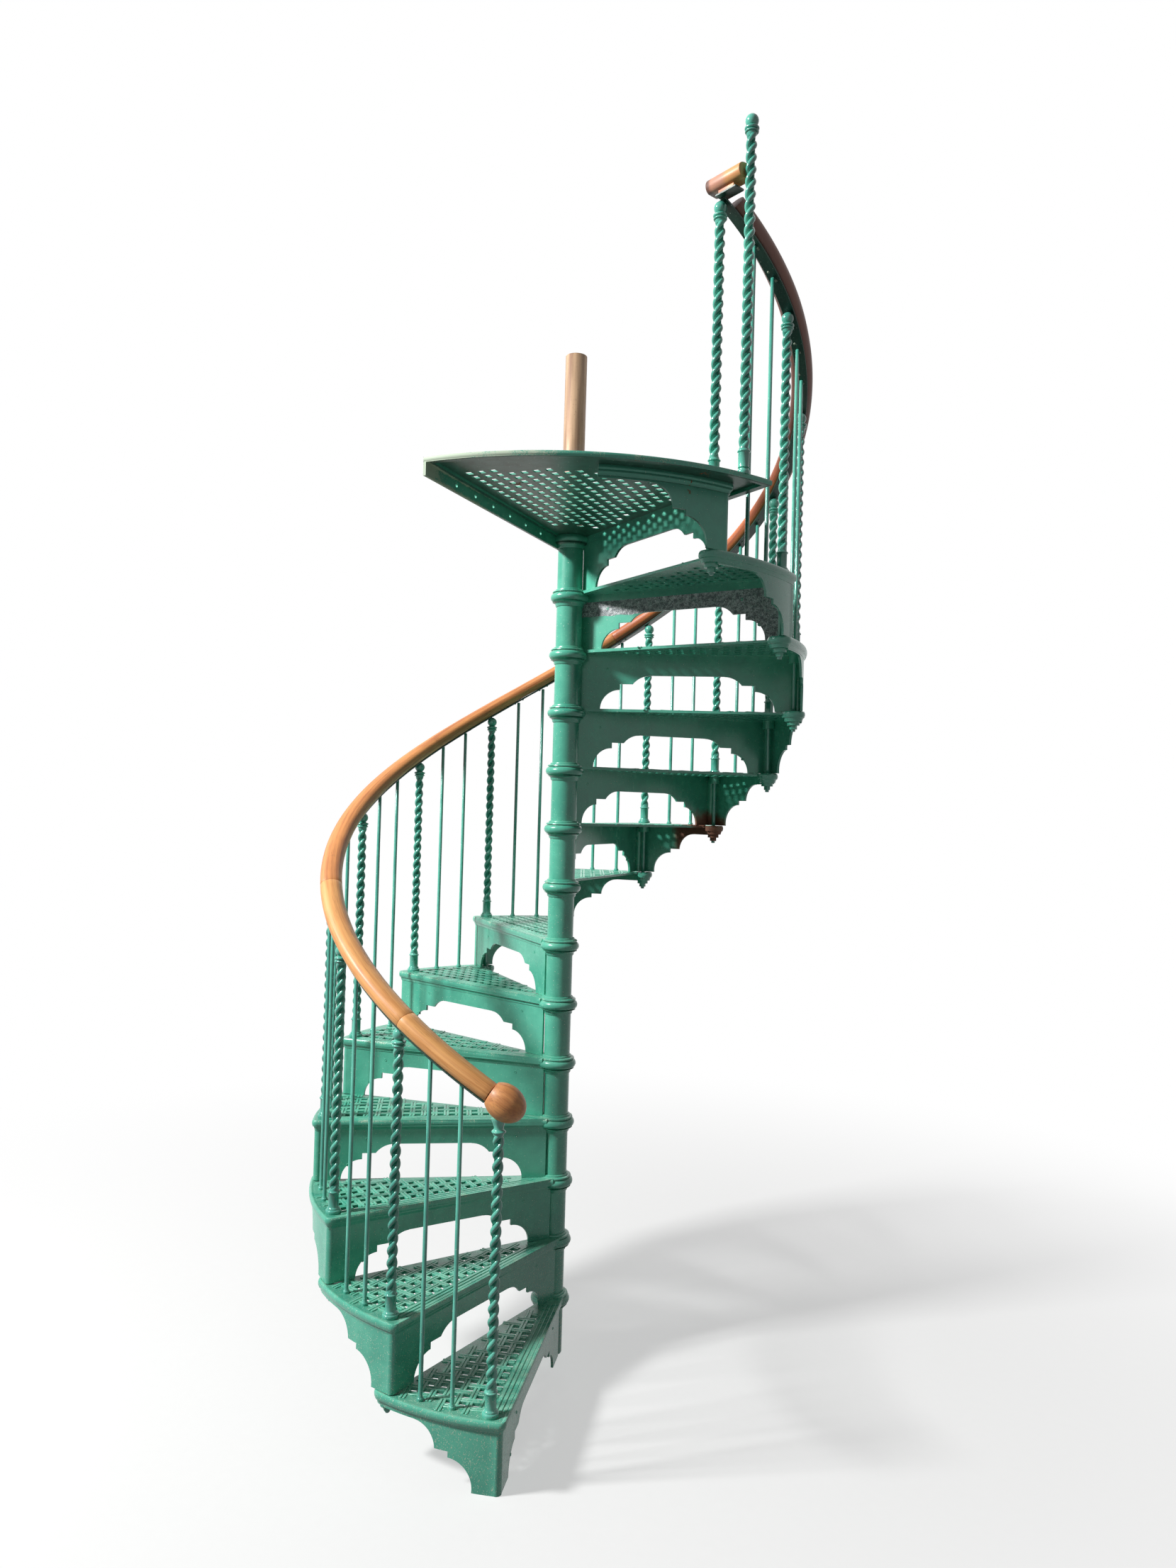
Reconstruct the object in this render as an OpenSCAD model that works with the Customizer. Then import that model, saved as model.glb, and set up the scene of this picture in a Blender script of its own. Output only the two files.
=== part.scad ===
// Cast-iron spiral staircase: thirteen tread castings and a landing casting threaded on a
// central pipe, turned posts and plain balusters round the outside, and a round wooden
// handrail on a flat steel strip. The stair climbs clockwise seen from above.
// Units are millimetres. +Z is up. The origin is the centre of the pipe's foot, on the floor.
// The landing's bolting flange runs along -Y, square to X.

/* [Staircase] */
// Height of one rise
rise = 200; // [170:1:230]
// Number of treads below the landing
treads = 13; // [8:1:16]
// Turn from one tread to the next, degrees
step_turn = 24.25; // [20:0.05:30]
// Extra turn of the landing past the last tread, degrees
landing_extra = 2; // [0:0.5:4]
// Radius of the treads at their outer edge
outer_r = 812; // [600:1:1000]

/* [Central pipe] */
// Outside diameter of the central pipe
pipe_d = 75; // [60:1:100]
// Wall of the central pipe
pipe_wall = 5; // [3:0.5:8]
// Thickness of the plate that closes the pipe's foot
foot_plate = 12; // [8:1:20]
// Height of the pipe's open top above the floor
pipe_top = 3425; // [3000:5:4000]

/* [Hub sleeves] */
// Outside diameter of the plain sleeve of each casting
sleeve_d = 89; // [80:1:120]
// Diameter of the moulded collar
collar_d = 132; // [110:1:160]
// Height of the collar's bead
collar_bead = 30; // [20:1:40]

/* [Tread castings] */
// Distance from the nosing back to the line of the post
nosing = 51; // [40:1:60]
// Thickness of the pierced plate
plate_t = 10; // [6:1:14]
// Height of the rounded edge band
edge_band = 22; // [16:1:30]
// Height of edge band and cove together
edge_depth = 34; // [26:1:44]
// How far the cove is set back from the edge
cove_back = 8; // [4:1:14]
// Thickness of risers and outer aprons
wall_t = 8; // [6:1:12]
// Set-back of the riser's face from the nosing
riser_back = 11; // [8:1:20]
// Radius of the plan's front corner
corner_r = 20; // [10:1:34]
// Radius of the round bead down the front corner
corner_bead_r = 14; // [8:1:20]
// Radius of the round ear under each post, and the posts' distance inside the outer edge
ear_r = 38; // [34:1:46]
// Distance of the plate's back edge from the next post's line
back_gap = 18; // [10:1:30]

/* [Piercing] */
// Side of each square hole
hole = 20; // [12:0.5:26]
// Pitch of the square holes
hole_pitch = 38.5; // [30:0.5:50]
// Distance of the first row of holes behind the nosing
hole_front = 64; // [50:1:90]
// Plain border inside the outer edge
hole_border = 60; // [40:1:90]
// Plain border round the hub
hole_hub = 120; // [90:1:160]

/* [Riser opening] */
// Distance of the opening's inner foot from the pipe's axis
arch_in = 112; // [90:1:140]
// Distance of the opening's outer foot inside the tread's edge
arch_out = 100; // [80:1:130]
// Radius of the quarter rounds at the foot
arch_foot_r = 68; // [40:1:80]
// Height of the opening's crown below the tread's top
arch_crown = 82; // [60:1:100]
// Width of each stepped corner between foot and crown
arch_step = 112; // [90:1:130]
// Width of the crown's rounded shoulder
arch_round = 60; // [50:1:80]

/* [Turned posts] */
// Height of a post from its tread to the top of its ball
post_h = 815; // [700:1:900]
// Diameter over the twisted shaft
shaft_d = 31; // [24:0.5:40]
// Diameter of the post's ball
ball_d = 38; // [30:1:50]
// Diameter of the neck rings
neck_d = 42; // [34:1:54]
// Height of the plain base up to its ring
base_h = 61; // [40:1:90]
// Diameter of the foot flange
foot_d = 47; // [36:1:60]
// Diameter of the rod that bolts each post down
rod_d = 14; // [10:1:18]
// Running gap round rods and pipe, on the radius
gap = 0.3; // [0.3:0.1:1]
// Across-flats size of the nuts on the rods
nut_af = 22; // [17:1:30]

/* [Balusters] */
// Diameter of a plain baluster
baluster_d = 12.5; // [10:0.5:20]
// Diameter of a baluster's foot
baluster_foot_d = 19; // [14:1:30]
// Angle of the first baluster past its post, degrees
baluster_1 = 8.25; // [6:0.05:10]
// Angle of the second baluster past its post, degrees
baluster_2 = 15.7; // [12:0.05:18]

/* [Handrail] */
// Width of the oval wooden handrail
rail_w = 70; // [50:1:80]
// Height of the oval wooden handrail
rail_h = 52; // [40:1:60]
// Width of the flat steel strip under it
strip_w = 38; // [25:1:45]
// Thickness of the flat steel strip
strip_t = 6; // [4:1:10]
// Length of the rounded bottom knob
knob_l = 124; // [100:1:150]
// Diameter of the rounded bottom knob
knob_d = 100; // [84:1:120]
// Slope of the short return length at the landing, degrees
return_slope = 1; // [0:1:8]
// Wooden packing between the return length and its strip
packing = 12; // [4:1:20]

/* [Landing] */
// Level of the landing's top above the last full rise
landing_drop = 0; // [-10:1:10]
// Distance of the landing's front edge ahead of its post
land_front = 118; // [100:1:124]
// Angle of the landing's far edge past its post, degrees
landing_far = 55.6; // [40:0.2:90]
// How far the landing's plate reaches past the edge of the treads
land_reach = 88; // [40:1:110]
// Thickness of the landing's rim
land_lip = 15; // [12:1:20]
// Depth of the bolting flange along the far edge
flange_h = 52; // [40:1:80]
// Diameter of the bolt holes in the flange
flange_hole = 13; // [10:0.5:18]
// Distance of the first flange bolt from the pipe's axis
flange_first = 170; // [130:5:220]
// Pitch of the flange bolts
flange_pitch = 112; // [80:1:120]
// Distance of the long newel inside the landing's rim
newel_in = 14; // [10:1:24]
// Angle of the newel ahead of the landing's post, degrees
newel_turn = 1; // [0:0.1:3]
// Height of the long newel
newel_h = 1018; // [940:1:1100]

/* [Hidden] */
$fn = 96;
eps = 0.01;
steps = treads + 1;
land_z = steps * rise + landing_drop;
plate_edge = outer_r - cove_back;
apron_out = outer_r - cove_back - 2;
riser_face = nosing - riser_back;
post_ring_r = outer_r - ear_r;
rim_r = outer_r + land_reach;
newel_r = rim_r - newel_in;
arch_half = (outer_r - arch_out - arch_in) / 2;
arch_mid = arch_in + arch_half;
arch_shoulder = arch_half - arch_step;
arch_flat = arch_shoulder - arch_round;
flange_bolts = floor((rim_r - flange_first - 130) / flange_pitch) + 1;
boss_r = 29;
boss_low_r = 21;
boss_h = 14;
nut_h = 13;
rod_tail = 8;
boss_bottom = edge_depth + boss_h;
sleeve_bore = pipe_d / 2 + gap;
rod_bore = rod_d / 2 + gap;
pitch_r = post_ring_r * step_turn * PI / 180;
helix_a = atan(rise / pitch_r);
rail_base = post_h - ball_d / 2 + (ball_d / 2 + gap) / cos(helix_a);
flat_low = rail_h / 2 - 3;
rail_seat = 0.8;
rail_lift = strip_t + rail_seat + flat_low;
back_clear = 20;
far_off = sleeve_d / 2 + 0.5;
flange_drop = flange_h / 2 + 5;

iron = [0.28, 0.60, 0.50];
bare = [0.48, 0.40, 0.34];
wood = [0.70, 0.44, 0.24];

// ---- angles and helix -------------------------------------------------------------------

function post_turn(k) = (k - 1) * step_turn + (k > treads ? landing_extra : 0);
first_angle = post_turn(steps) + landing_far - 90 - 360;
function post_angle(k) = first_angle - post_turn(k);
function span(k) = post_turn(k + 1) - post_turn(k);
// Position k counts posts along the climb and may lie between two posts.
function turn_at(k) = post_turn(floor(k)) + (k - floor(k)) * span(floor(k));
function dir(k) = [cos(first_angle - turn_at(k)), sin(first_angle - turn_at(k)), 0];
function rail_point(k, h) = post_ring_r * dir(k) + [0, 0, k * rise + h];
function unit(v) = v / norm(v);
function rail_tangent(k) = unit(rail_point(k + 0.005, 0) - rail_point(k - 0.005, 0));

// ---- sweeps -----------------------------------------------------------------------------

// Ring of points: profile [out, up] placed square to the path at p, with tangent t.
function ring(profile, p, t) =
  let (out = unit(cross(t, [0, 0, 1])), up = cross(out, t))
  [for (q = profile) p - q[0] * out + q[1] * up];

module skin(rings) {
  n = len(rings[0]);
  m = len(rings);
  points = [for (r = rings) each r];
  sides = [for (i = [0:m - 2], j = [0:n - 1])
    each [[i * n + j, i * n + (j + 1) % n, (i + 1) * n + (j + 1) % n],
          [i * n + j, (i + 1) * n + (j + 1) % n, (i + 1) * n + j]]];
  start = [[for (j = [n - 1:-1:0]) j]];
  finish = [[for (j = [0:n - 1]) (m - 1) * n + j]];
  polyhedron(points, concat(sides, start, finish), convexity = 6);
}

function sgn_pow(v, e) = sign(v) * pow(abs(v), e);
// Oval with a flat underside; "foot" lengthens the underside by that much.
function oval_profile(w, h, flat, n = 16) =
  [for (i = [0:n - 1])
    let (a = 360 * (i + 0.5) / n) [w / 2 * sgn_pow(cos(a), 0.9), max(h / 2 * sgn_pow(sin(a), 0.9), -flat)]];
// The same oval with a square foot of width fw and depth fh under it.
function footed_profile(w, h, flat, fw, fh) =
  let (oval = oval_profile(w, h, flat))
  [for (i = [0:15]) each
    i == 11 ? [[-fw / 2, -flat], [-fw / 2, -flat - fh]] :
    i == 12 ? [[fw / 2, -flat - fh], [fw / 2, -flat]] : [oval[i]]];
function bar_profile(w, t) = [[w / 2, 0], [w / 2, t], [-w / 2, t], [-w / 2, 0]];

// ---- tread castings ---------------------------------------------------------------------

// Plan of a casting about its own post's line (+X), with the climb towards -Y.
// "inset" draws the same plan smaller all round its front and outer edges.
module plan(inset, sp) {
  r = outer_r - inset;
  f = nosing - inset;
  c = max(corner_r - inset, 4);
  cx = sqrt(pow(r - c, 2) - pow(f - c, 2));
  last = atan2(f - c, cx) + 12;
  back = [cos(-sp), sin(-sp)];
  side = [sin(sp), cos(sp)];
  corner = [for (i = [0:6]) let (a = 90 + (last - 90) * i / 6) [cx + c * cos(a), f - c + c * sin(a)]];
  intersection() {
    circle(r = r, $fn = 180);
    polygon(concat([[0, f]], corner, [corner[6] + 80 * [sin(last), -cos(last)], [1100, -120], 1100 * back,
      (post_ring_r - 28) * back, (post_ring_r - 50) * back + back_gap * side, back_gap * side]));
  }
  translate(post_ring_r * back) circle(r = ear_r + 0.5 - inset);
}

function over_back(x, y, sp) = x * sin(sp) + y * cos(sp);

module holes(sp) {
  rows = floor(outer_r * sin(sp) / hole_pitch);
  cols = floor((outer_r - hole_border - hole_hub) / hole_pitch);
  for (j = [0:rows], i = [0:cols]) {
    x = outer_r - hole_border - 16 - i * hole_pitch;
    y = nosing - hole_front - j * hole_pitch;
    if (norm([x, y]) < outer_r - hole_border - 2 && norm([x, y]) > hole_hub + 20
        && over_back(x, y, sp) > riser_face + back_clear
        && norm([x, y] - post_ring_r * [cos(sp), -sin(sp)]) > ear_r + 14)
      translate([x, y]) square(hole, center = true);
  }
}

module hub(low) {
  difference() {
    rotate_extrude() union() {
      translate([0, low]) square([sleeve_d / 2, -low]);
      translate([0, -edge_depth - 8]) square([sleeve_d / 2 + 4, edge_depth + 8]);
      translate([0, -7]) square([collar_d / 2 - 10, 7]);
      translate([0, -collar_bead - 5]) square([collar_d / 2 - collar_bead / 2, collar_bead - 2]);
      translate([collar_d / 2 - collar_bead / 2, -collar_bead / 2 - 6]) circle(r = collar_bead / 2);
    }
    translate([0, 0, low - 1]) cylinder(r = sleeve_bore, h = 2 - low);
  }
}

// Opening of a riser, drawn in [radius, height] with the tread's top at height 0.
module arch(low) {
  step_top = -arch_crown - 30;
  shoulder = arch_shoulder - arch_flat;
  sr = (shoulder * shoulder + 900) / 60;
  translate([arch_mid, 0]) for (s = [0, 1]) mirror([s, 0]) {
    translate([-1, low - 5]) square([arch_flat + 1, -low + 5 - arch_crown]);
    translate([-1, low - 5]) square([arch_half - arch_foot_r + 1, -low + 5 + step_top]);
    intersection() {
      translate([arch_flat, -arch_crown - sr - 0.6]) circle(r = sr, $fn = 120);
      translate([0, low]) square([arch_shoulder, -low]);
    }
    translate([arch_half - arch_foot_r, low]) circle(r = arch_foot_r);
  }
}

module riser(low) {
  top = edge_depth - 6;
  len_x = sqrt(pow(apron_out - wall_t / 2, 2) - pow(riser_face, 2)) - corner_bead_r;
  translate([0, riser_face, 0]) rotate([90, 0, 0]) linear_extrude(wall_t) difference() {
    translate([sleeve_d / 2 - 12, low]) square([len_x - sleeve_d / 2 + 12, -low - top]);
    arch(low);
  }
}

module pie(r, a0, a1) {
  mid = (a0 + a1) / 2;
  polygon([[0, 0], r * [cos(a0), sin(a0)], r * 1.1 * [cos(mid), sin(mid)], r * [cos(a1), sin(a1)]]);
}

// Curved apron below the outer edge, stepped away towards the back.
module apron(low, sp, s_end) {
  top = edge_depth - 6;
  deg = 180 / PI / apron_out;
  a_front = asin((riser_face - corner_bead_r) / (apron_out - corner_bead_r));
  step1 = 112 * deg;
  step2 = 218 * deg;
  difference() {
    translate([0, 0, low]) linear_extrude(-low - top) intersection() {
      difference() {
        circle(r = apron_out, $fn = 180);
        circle(r = apron_out - wall_t, $fn = 180);
      }
      pie(1000, a_front, -s_end * deg);
    }
    translate([0, 0, low - 5]) linear_extrude(-low + 5 - 102) pie(1000, -step1, -s_end * deg - 4);
    translate([0, 0, low - 5]) linear_extrude(-low + 5 - 39) pie(1000, -step2, -s_end * deg - 4);
    rotate([0, 0, -step1]) translate([apron_out - 60, 0, low + 10]) rotate([0, 90, 0]) cylinder(r = 72, h = 120);
    rotate([0, 0, -step2]) translate([apron_out - 60, 0, -104.6]) rotate([0, 90, 0]) cylinder(r = 65, h = 120);
  }
}

module ear_boss() {
  translate([0, 0, -edge_depth - 1.5]) cylinder(r = boss_r, h = edge_depth - 2);
  translate([0, 0, -boss_bottom]) cylinder(r = boss_low_r, h = boss_h + 1);
}

module at_post(a, r = post_ring_r) {
  rotate([0, 0, a]) translate([r, 0, 0]) children();
}

module tread(k) {
  sp = span(k);
  low = -rise;
  color(iron) translate([0, 0, k * rise]) rotate([0, 0, post_angle(k)]) difference() {
    union() {
      translate([0, 0, -plate_t]) linear_extrude(plate_t) difference() {
        plan(0, sp);
        holes(sp);
      }
      translate([0, 0, -edge_band]) linear_extrude(edge_band - 1) difference() {
        plan(0, sp);
        plan(cove_back + 12, sp);
      }
      translate([0, 0, -edge_depth]) linear_extrude(edge_depth - edge_band + 1) difference() {
        plan(cove_back, sp);
        plan(cove_back + 12, sp);
      }
      hub(low);
      riser(low);
      apron(low, sp, sp * PI / 180 * apron_out);
      at_post(asin((riser_face - corner_bead_r) / (apron_out - corner_bead_r)), apron_out - corner_bead_r)
        translate([0, 0, low]) cylinder(r = corner_bead_r + 0.8, h = -low - edge_band);
      translate([post_ring_r, 0, -edge_depth - 3]) cylinder(r = boss_low_r, h = edge_depth);
      at_post(-sp) ear_boss();
    }
    translate([0, 0, low - 1]) cylinder(r = sleeve_bore, h = 2 - low);
    translate([post_ring_r, 0, -rise]) cylinder(r = rod_bore, h = rise + 1);
    at_post(-sp) translate([0, 0, -rise]) cylinder(r = rod_bore, h = rise + 1);
  }
}

module tread_01() { tread(1); }
module tread_02() { tread(2); }
module tread_03() { tread(3); }
module tread_04() { tread(4); }
module tread_05() { tread(5); }
module tread_06() { tread(6); }
module tread_07() { tread(7); }
module tread_08() { tread(8); }
module tread_09() { tread(9); }
module tread_10() { tread(10); }
module tread_11() { tread(11); }
module tread_12() { tread(12); }
module tread_13() { tread(13); }

// ---- landing ----------------------------------------------------------------------------

// Plan of the landing: its far edge stands clear of the sleeve, so that the flange's face
// can be bolted flat against the upper floor.
module landing_plan(inset) {
  tip_x = sqrt(pow(rim_r, 2) - pow(land_front, 2));
  back = [cos(-landing_far), sin(-landing_far)];
  side = [sin(landing_far), cos(landing_far)];
  intersection() {
    circle(r = rim_r - inset, $fn = 180);
    polygon([[0, collar_d / 2 - inset], [54, land_front - inset], [1.3 * tip_x, land_front - inset], [1600, -200],
             1500 * back - (far_off - inset) * side, -(far_off - inset) * side]);
  }
}

module landing_holes() {
  back = [cos(-landing_far), sin(-landing_far)];
  side = [sin(landing_far), cos(landing_far)];
  for (j = [0:20], i = [0:20]) {
    u = outer_r - hole_border - hole / 2 - i * hole_pitch;
    v = 10 + j * hole_pitch;
    p = u * back + v * side;
    if (norm(p) < outer_r - hole_border && norm(p) > hole_hub + 20
        && (p[1] < riser_face - wall_t - back_clear || p[1] > riser_face + back_clear)
        && p[1] < land_front - 34)
      translate(p) rotate(-landing_far) square(hole, center = true);
  }
}

// Moulding under the landing's plate, over its riser and apron.
module cornice(run) {
  difference() {
    plan(0, 60);
    plan(cove_back + 12, 60);
    pie(1000, -run * 180 / PI / apron_out, -80);
  }
}

module landing() {
  low = -rise - landing_drop;
  back_a = -landing_far;
  apron_run = 372;
  color(iron) translate([0, 0, land_z]) rotate([0, 0, post_angle(steps)]) difference() {
    union() {
      translate([0, 0, -plate_t]) linear_extrude(plate_t) difference() {
        landing_plan(0);
        landing_holes();
      }
      translate([0, 0, -land_lip]) linear_extrude(land_lip - 1) difference() {
        landing_plan(0);
        landing_plan(22);
      }
      translate([0, 0, -edge_band]) linear_extrude(edge_band - plate_t + 1) cornice(apron_run);
      translate([0, 0, -edge_depth]) linear_extrude(edge_depth - edge_band + 1) intersection() {
        cornice(apron_run);
        plan(cove_back, 60);
      }
      rotate([0, 0, back_a]) translate([0, -far_off, -flange_h])
        cube([sqrt(rim_r * rim_r - far_off * far_off) - 1, wall_t, flange_h - 1]);
      hub(low);
      riser(low);
      apron(low, landing_far, apron_run);
      at_post(asin((riser_face - corner_bead_r) / (apron_out - corner_bead_r)), apron_out - corner_bead_r)
        translate([0, 0, low]) cylinder(r = corner_bead_r + 0.8, h = -low - edge_band);
      translate([post_ring_r, 0, -edge_depth - 3]) cylinder(r = boss_low_r, h = edge_depth);
    }
    translate([0, 0, low - 1]) cylinder(r = sleeve_bore, h = 2 - low);
    translate([post_ring_r, 0, low]) cylinder(r = rod_bore, h = 1 - low);
    for (i = [0:flange_bolts - 1])
      rotate([0, 0, back_a]) translate([flange_first + i * flange_pitch, -far_off - 5, -flange_drop])
        rotate([-90, 0, 0]) cylinder(d = flange_hole, h = wall_t + 10, $fn = 48);
  }
}

// ---- pipe -------------------------------------------------------------------------------

// The pipe's foot is closed by a thick end plate; its top is open.
module center_pipe() {
  color(bare) difference() {
    cylinder(d = pipe_d, h = pipe_top);
    translate([0, 0, foot_plate]) cylinder(d = pipe_d - 2 * pipe_wall, h = pipe_top);
  }
}

// ---- posts ------------------------------------------------------------------------------

// Turned post: foot, plain base with its ring, shaft, two neck rings and a ball.
module post(h, base, tail, ball = true, foot = foot_d) {
  neck = h - ball_d - 16;
  rotate_extrude() intersection() {
    union() {
      square([foot / 2, 9]);
      translate([0, 8]) square([max(foot / 2 - 4, shaft_d / 2 + 1), 7]);
      translate([0, 14]) square([shaft_d / 2, base - 13]);
      translate([0, base - 2]) square([shaft_d / 2 + 2.5, 7]);
      translate([0, base + 4]) square([shaft_d / 2, neck - base - 3]);
      translate([neck_d / 2 - 4, neck + 4]) circle(r = 4);
      translate([0, neck + 1]) square([neck_d / 2 - 4, 6]);
      translate([neck_d / 2 - 4, neck + 13]) circle(r = 4);
      translate([0, neck + 6]) square([neck_d / 2 - 6, 8]);
      translate([0, neck + 10]) square([neck_d / 2 - 4, 6]);
      translate([0, neck + 15]) square([9, 10]);
      if (ball) {
        translate([0, h - ball_d / 2]) circle(r = ball_d / 2);
      } else {
        translate([0, neck + 15]) square([13, h - 14 - neck - 15]);
      }
    }
    translate([0, -1]) square([200, h + 20]);
  }
  if (tail > 0) translate([0, 0, -tail]) cylinder(d = rod_d, h = tail + 2);
}

module place_post(k) {
  translate([0, 0, k > treads ? land_z : k * rise]) at_post(post_angle(k)) children();
}

long_tail = rise + boss_bottom + nut_h + rod_tail;
short_tail = edge_depth + 3 + nut_h + rod_tail;

module posts(k0, k1) {
  color(iron) for (k = [k0:k1])
    place_post(k) post(post_h, base_h, k == 1 ? short_tail : long_tail, k > 1);
}

module posts_lower() { posts(1, 4); }
module posts_middle() { posts(5, 9); }
module posts_upper() { posts(10, 13); }

module landing_post() {
  color(iron) place_post(steps) post(post_h, base_h, long_tail + landing_drop);
}

module newel() {
  color(iron) translate([0, 0, land_z]) at_post(post_angle(steps) + newel_turn, newel_r)
    post(newel_h, base_h, 0, true, shaft_d + 5);
}

module nut() {
  difference() {
    cylinder(d = nut_af / cos(30), h = nut_h, $fn = 6);
    translate([0, 0, -1]) cylinder(r = rod_bore, h = nut_h + 2);
  }
}

module post_nuts() {
  color(iron) {
    place_post(1) translate([0, 0, -edge_depth - 3 - nut_h]) nut();
    for (k = [2:steps])
      place_post(k) translate([0, 0, -rise - boss_bottom - nut_h]) nut();
  }
}

// ---- balusters --------------------------------------------------------------------------

module baluster(k, a) {
  f = a / span(k);
  top = (k + f) * rise + rail_base;
  slope = rise / (post_ring_r * span(k) * PI / 180);
  h = top - k * rise - baluster_d / 2 * slope - 0.4;
  translate([0, 0, k * rise]) at_post(post_angle(k) - a) {
    cylinder(d = baluster_foot_d, h = 6);
    cylinder(d = baluster_foot_d - 3, h = 10);
    cylinder(d = baluster_d, h = h);
  }
}

module balusters_near() {
  color(iron) for (k = [1:treads]) baluster(k, baluster_1);
}

module balusters_far() {
  color(iron) for (k = [1:treads]) baluster(k, baluster_2);
}

// ---- handrail ---------------------------------------------------------------------------

knob_cut = 46;
helix_step = norm([pitch_r, rise]);
rail_start = 1 + (knob_cut + 1.1) / helix_step;
apex = steps;
wood_end = steps - 0.1;
joint_1 = 1.97;
joint_2 = 3.68;
joint_3 = 8.6;
cuts_per_step = 7;

function lifted(k, h) = rail_point(k, rail_base) + h * rail_up(k);
function rail_up(k) = let (t = rail_tangent(k), out = unit(cross(t, [0, 0, 1]))) cross(out, t);

module rail_sweep(profile, k0, k1, lift) {
  n = max(ceil((k1 - k0) * cuts_per_step), 3);
  skin([for (i = [0:n]) let (k = k0 + (k1 - k0) * i / n) ring(profile, lifted(k, lift), rail_tangent(k))]);
}

// Short return from the landing's post out to the newel.
newel_xy = newel_r * [cos(post_angle(steps) + newel_turn), sin(post_angle(steps) + newel_turn)];
apex_p = rail_point(apex, rail_base);
return_flat = unit([newel_xy[0], newel_xy[1], 0] - [apex_p[0], apex_p[1], 0]);
return_run = norm([newel_xy[0], newel_xy[1]] - [apex_p[0], apex_p[1]]) - shaft_d / 2 - 2;
return_seat = strip_t * cos(helix_a) + 0.3;
return_dir = cos(return_slope) * return_flat + [0, 0, sin(return_slope)];
return_side = unit(cross(return_dir, [0, 0, 1]));
return_up = cross(return_side, return_dir);

// Both ends of a return length are cut upright, at distances d0 and d1 along the floor.
module return_sweep(profile, d0, d1, lift) {
  skin([for (d = [d0, (d0 + d1) / 2, d1])
    [for (q = profile)
      apex_p + d * (return_flat + [0, 0, tan(return_slope)]) - q[0] * return_side
        + [0, 0, (q[1] + lift) / cos(return_slope)]]]);
}

module rail_strip() {
  color(iron) {
    rail_sweep(bar_profile(strip_w, strip_t), rail_start + 0.02, apex, 0);
  }
}

module strip_return() {
  color(iron) return_sweep(bar_profile(strip_w, strip_t), -4, return_run - 24, return_seat);
}

module rail_length(k0, k1) {
  color(wood) rail_sweep(oval_profile(rail_w, rail_h, flat_low), k0, k1, rail_lift);
}

module handrail_1() { rail_length(rail_start, joint_1 - 0.001); }
module handrail_2() { rail_length(joint_1, joint_2 - 0.001); }
module handrail_3() { rail_length(joint_2, joint_3 - 0.001); }
module handrail_4() { rail_length(joint_3, wood_end); }

module handrail_return() {
  seat = return_seat + strip_t + 0.5;
  color(wood) return_sweep(footed_profile(rail_w - 8, rail_h - 4, flat_low - 2, 28, packing),
    -34, return_run, seat + packing + flat_low - 2);
}

module rail_knob() {
  n = 14;
  a1 = acos(knob_cut / (knob_l / 2));
  centre = lifted(1, rail_lift);
  post_top = rise + post_h - 14;
  color(wood) difference() {
    translate(centre) multmatrix(knob_frame()) rotate_extrude($fn = 64)
      polygon(concat([[0, knob_cut], [knob_d / 2 * sin(a1), knob_cut]],
        [for (i = [1:n]) let (a = a1 + (180 - a1) * i / n) [knob_d / 2 * sin(a), knob_l / 2 * cos(a)]]));
    at_post(first_angle) translate([0, 0, post_top - 60]) cylinder(r = 14, h = 60);
  }
}

// Frame with +Z along the rail's slope at the first post.
function knob_frame() = let (t = rail_tangent(rail_start), s = unit(cross(t, [0, 0, 1])), u = cross(s, t))
  [[s[0], u[0], t[0], 0], [s[1], u[1], t[1], 0], [s[2], u[2], t[2], 0], [0, 0, 0, 1]];

center_pipe();
tread_01();
tread_02();
tread_03();
tread_04();
tread_05();
tread_06();
tread_07();
tread_08();
tread_09();
tread_10();
tread_11();
tread_12();
tread_13();
landing();
posts_lower();
posts_middle();
posts_upper();
landing_post();
newel();
post_nuts();
balusters_near();
balusters_far();
rail_strip();
strip_return();
handrail_1();
handrail_2();
handrail_3();
handrail_4();
handrail_return();
rail_knob();
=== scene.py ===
"""Looks of a cast-iron spiral staircase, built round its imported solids. Metres, +Z up."""

import math

import bmesh
import bpy
from mathutils import Matrix, Vector


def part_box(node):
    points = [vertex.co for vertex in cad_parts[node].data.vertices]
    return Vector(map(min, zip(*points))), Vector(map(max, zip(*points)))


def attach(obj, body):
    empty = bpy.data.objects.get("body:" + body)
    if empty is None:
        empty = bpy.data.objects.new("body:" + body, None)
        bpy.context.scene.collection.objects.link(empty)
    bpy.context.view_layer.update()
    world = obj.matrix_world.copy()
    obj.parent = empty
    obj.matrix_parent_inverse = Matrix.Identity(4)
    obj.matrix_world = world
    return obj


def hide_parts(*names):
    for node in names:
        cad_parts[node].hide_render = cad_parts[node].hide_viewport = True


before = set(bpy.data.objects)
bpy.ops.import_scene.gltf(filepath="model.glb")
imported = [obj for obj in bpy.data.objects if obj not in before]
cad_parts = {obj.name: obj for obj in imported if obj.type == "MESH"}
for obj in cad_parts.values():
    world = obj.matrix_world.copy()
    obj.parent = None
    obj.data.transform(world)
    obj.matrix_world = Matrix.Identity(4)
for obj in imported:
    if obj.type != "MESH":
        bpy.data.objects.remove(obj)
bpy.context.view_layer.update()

# ---- Camera --------------------------------------------------------------------------------
# An eye at 1.86 m, 3.7 m from the pipe, tipped up and leaning a little, with a wide lens: it
# sees the whole stair from in front of the landing.
eye = Vector((1.5334, -3.4110, 1.8564))
heading, tilt, lean = math.radians(-22.96), 0.0217, 0.0280

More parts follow.
